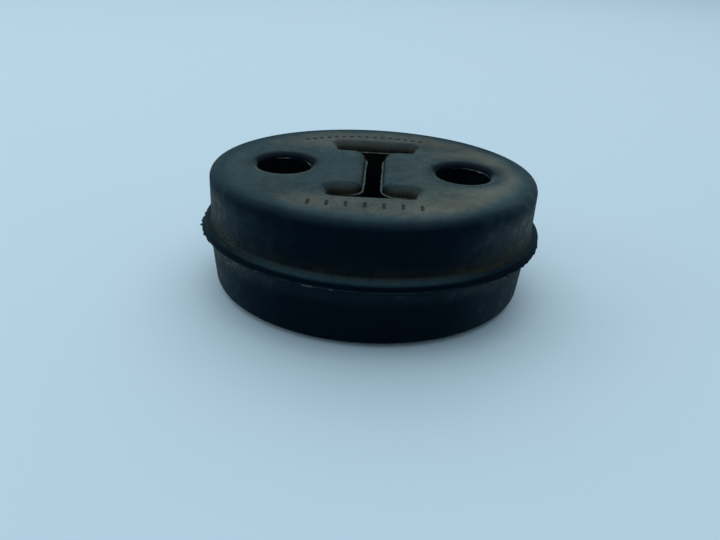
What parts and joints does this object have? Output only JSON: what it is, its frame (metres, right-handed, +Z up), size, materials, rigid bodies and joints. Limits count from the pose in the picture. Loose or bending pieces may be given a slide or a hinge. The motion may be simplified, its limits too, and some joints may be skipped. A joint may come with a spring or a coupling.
{
  "type": "exhaust hanger",
  "caption": "Oval solid rubber isolator with round bores for hanger rods, an I-shaped slot between them and a collar round its mould joint.",
  "frame": {"origin": "middle of the flat underside, centre of the oval, on the surface that the hanger lies on", "axes": "+X along the long axis of the oval, through both bores; +Y along the slot's stem; +Z up, along the bores"},
  "size_m": [0.0751, 0.0646, 0.0268],
  "materials": {
    "rubber": "dusty matt black rubber, moulded"
  },
  "bodies": {
    "root": {"hanger_body": "rubber"}
  },
  "joints": []
}
